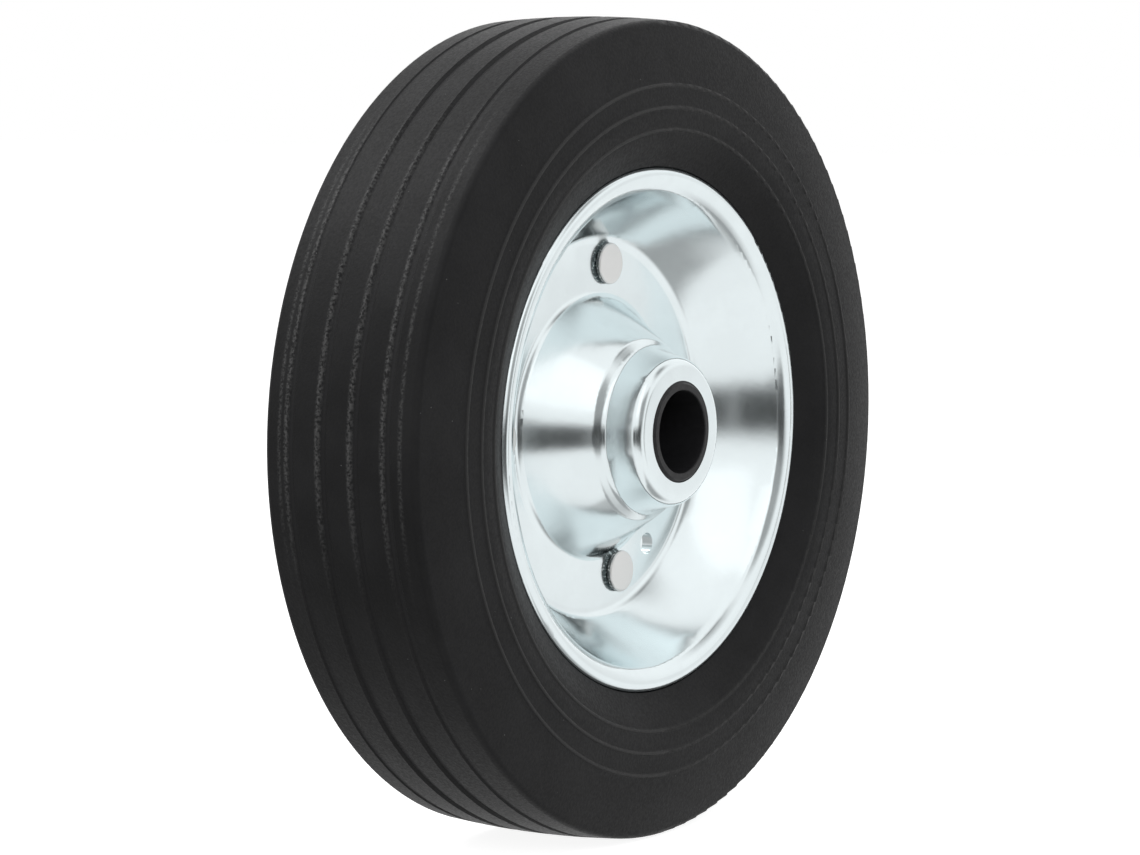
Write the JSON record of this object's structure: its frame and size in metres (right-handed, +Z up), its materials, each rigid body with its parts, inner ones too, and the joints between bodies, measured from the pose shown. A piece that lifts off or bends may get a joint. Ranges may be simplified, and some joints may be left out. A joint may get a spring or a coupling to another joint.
{
  "type": "trolley wheel",
  "caption": "Solid rubber trolley wheel on a pressed steel rim, with a ribbed tread, riveted webs, a domed hub and a plain bush for an axle",
  "frame": {"origin": "wheel centre, on the axle line midway between the two ends of the bush", "axes": "the axle runs along Y, the face in the picture looks toward -Y, +Z is up, the wheel spins about +Y"},
  "size_m": [0.2, 0.0558, 0.2],
  "materials": {
    "tyre_rubber": "satin",
    "zinc_plated_steel": "bright zinc plating",
    "rivet_steel": "zinc plated, dull",
    "tube_steel": "plain",
    "bush_plastic": "satin"
  },
  "bodies": {
    "root": {"tyre": "tyre_rubber", "front_disc": "zinc_plated_steel", "rear_disc": "zinc_plated_steel", "rivets": "rivet_steel", "hub_tube": "tube_steel", "bearing_bush": "bush_plastic"}
  },
  "joints": []
}
